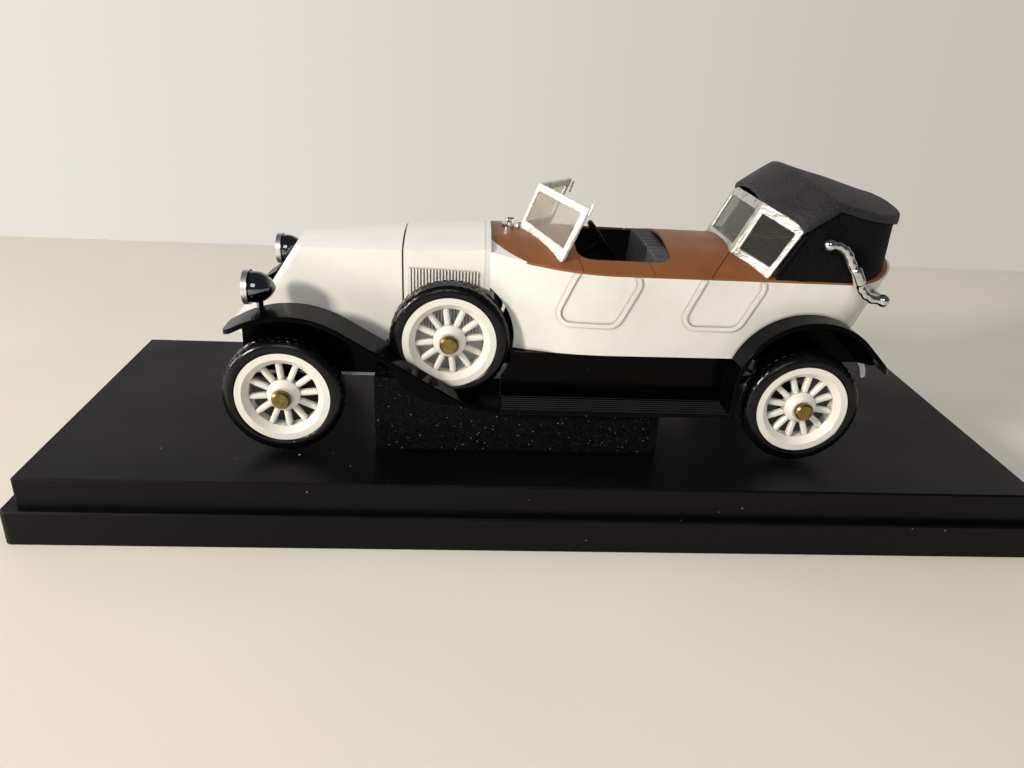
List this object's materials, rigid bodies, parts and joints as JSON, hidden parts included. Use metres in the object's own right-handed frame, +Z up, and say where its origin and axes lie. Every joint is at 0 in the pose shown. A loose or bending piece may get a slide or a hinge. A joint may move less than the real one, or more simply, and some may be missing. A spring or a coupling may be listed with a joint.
{
  "type": "1920s touring car model on a display plinth",
  "caption": "Collector's model of a 1920s touring car with a raked scuttle nose and a raised rear hood, standing on a foam pad and a black plinth, with road wheels that roll",
  "frame": {"origin": "centre of the plinth's underside", "axes": "+X is the car's forward direction, +Y its left side, +Z up"},
  "size_m": [0.1814, 0.0666, 0.0629],
  "materials": {
    "white_paint": "glossy moulded-in white with a clear gloss coat",
    "tan_paint": "satin tan paint",
    "black_paint": "semi-gloss black",
    "chassis_black": "satin black",
    "hood_cloth": "matte grained black, moulded to look like cloth",
    "chrome_trim": "bright vacuum-plated metal",
    "screen_silver": "bright metal foil over moulded frames, worn ragged at the edges",
    "brass_cap": "polished brass",
    "clear_plastic": "clear plastic glazing, slightly smudged",
    "lamp_lens": "clear ribbed lens",
    "tyre_rubber": "glossy black vinyl tyre",
    "wheel_white": "glossy white plastic",
    "seat_black": "moulded pleated seat, satin black",
    "plinth_black": "satin black moulding with fine dust and scratches",
    "pad_foam": "black foam with a sparkling skin",
    "steering_black": "gloss black"
  },
  "bodies": {
    "car_on_plinth": {"plinth": "plinth_black", "pad": "pad_foam", "chassis_frame": "white_paint", "cabin_lining": "seat_black", "front_axle": "chassis_black", "rear_axle": "chassis_black", "front_springs": "chassis_black", "rear_springs": "chassis_black", "cabin_floor": "chassis_black", "bonnet": "white_paint", "body_shell": "white_paint", "windscreen_frame": "screen_silver", "rear_screen_frame": "screen_silver", "deck": "tan_paint", "front_seat": "seat_black", "rear_seat": "seat_black", "dashboard": "seat_black", "steering_wheel": "steering_black", "steering_column": "steering_black", "windscreen_glass": "clear_plastic", "rear_screen_glass": "clear_plastic", "hood_top": "hood_cloth", "hood_curtain": "hood_cloth", "landau_irons": "chrome_trim", "headlamps": "chrome_trim", "cowl_cap": "chrome_trim", "headlamp_lenses": "lamp_lens", "front_mudguards": "black_paint", "rear_mudguards": "black_paint", "running_boards": "black_paint", "nose_plate": "black_paint", "spare_tyres": "tyre_rubber", "spare_wheels": "wheel_white", "spare_hub_caps": "brass_cap"},
    "rolling_front_left": {"tyre_front_left": "tyre_rubber", "wheel_front_left": "wheel_white", "hub_cap_front_left": "brass_cap"},
    "rolling_front_right": {"tyre_front_right": "tyre_rubber", "wheel_front_right": "wheel_white", "hub_cap_front_right": "brass_cap"},
    "rolling_rear_left": {"tyre_rear_left": "tyre_rubber", "wheel_rear_left": "wheel_white", "hub_cap_rear_left": "brass_cap"},
    "rolling_rear_right": {"tyre_rear_right": "tyre_rubber", "wheel_rear_right": "wheel_white", "hub_cap_rear_right": "brass_cap"}
  },
  "joints": [
    {"name": "spin_front_left", "type": "hinge", "parent": "car_on_plinth", "child": "rolling_front_left", "pos_m": [0.04545, 0.0194, 0.0229], "axis": [0, 1, 0], "continuous": true},
    {"name": "spin_front_right", "type": "hinge", "parent": "car_on_plinth", "child": "rolling_front_right", "pos_m": [0.04545, -0.0144, 0.0229], "axis": [0, 1, 0], "continuous": true},
    {"name": "spin_rear_left", "type": "hinge", "parent": "car_on_plinth", "child": "rolling_rear_left", "pos_m": [-0.04655, 0.0194, 0.0229], "axis": [0, 1, 0], "continuous": true},
    {"name": "spin_rear_right", "type": "hinge", "parent": "car_on_plinth", "child": "rolling_rear_right", "pos_m": [-0.04655, -0.0144, 0.0229], "axis": [0, 1, 0], "continuous": true}
  ]
}
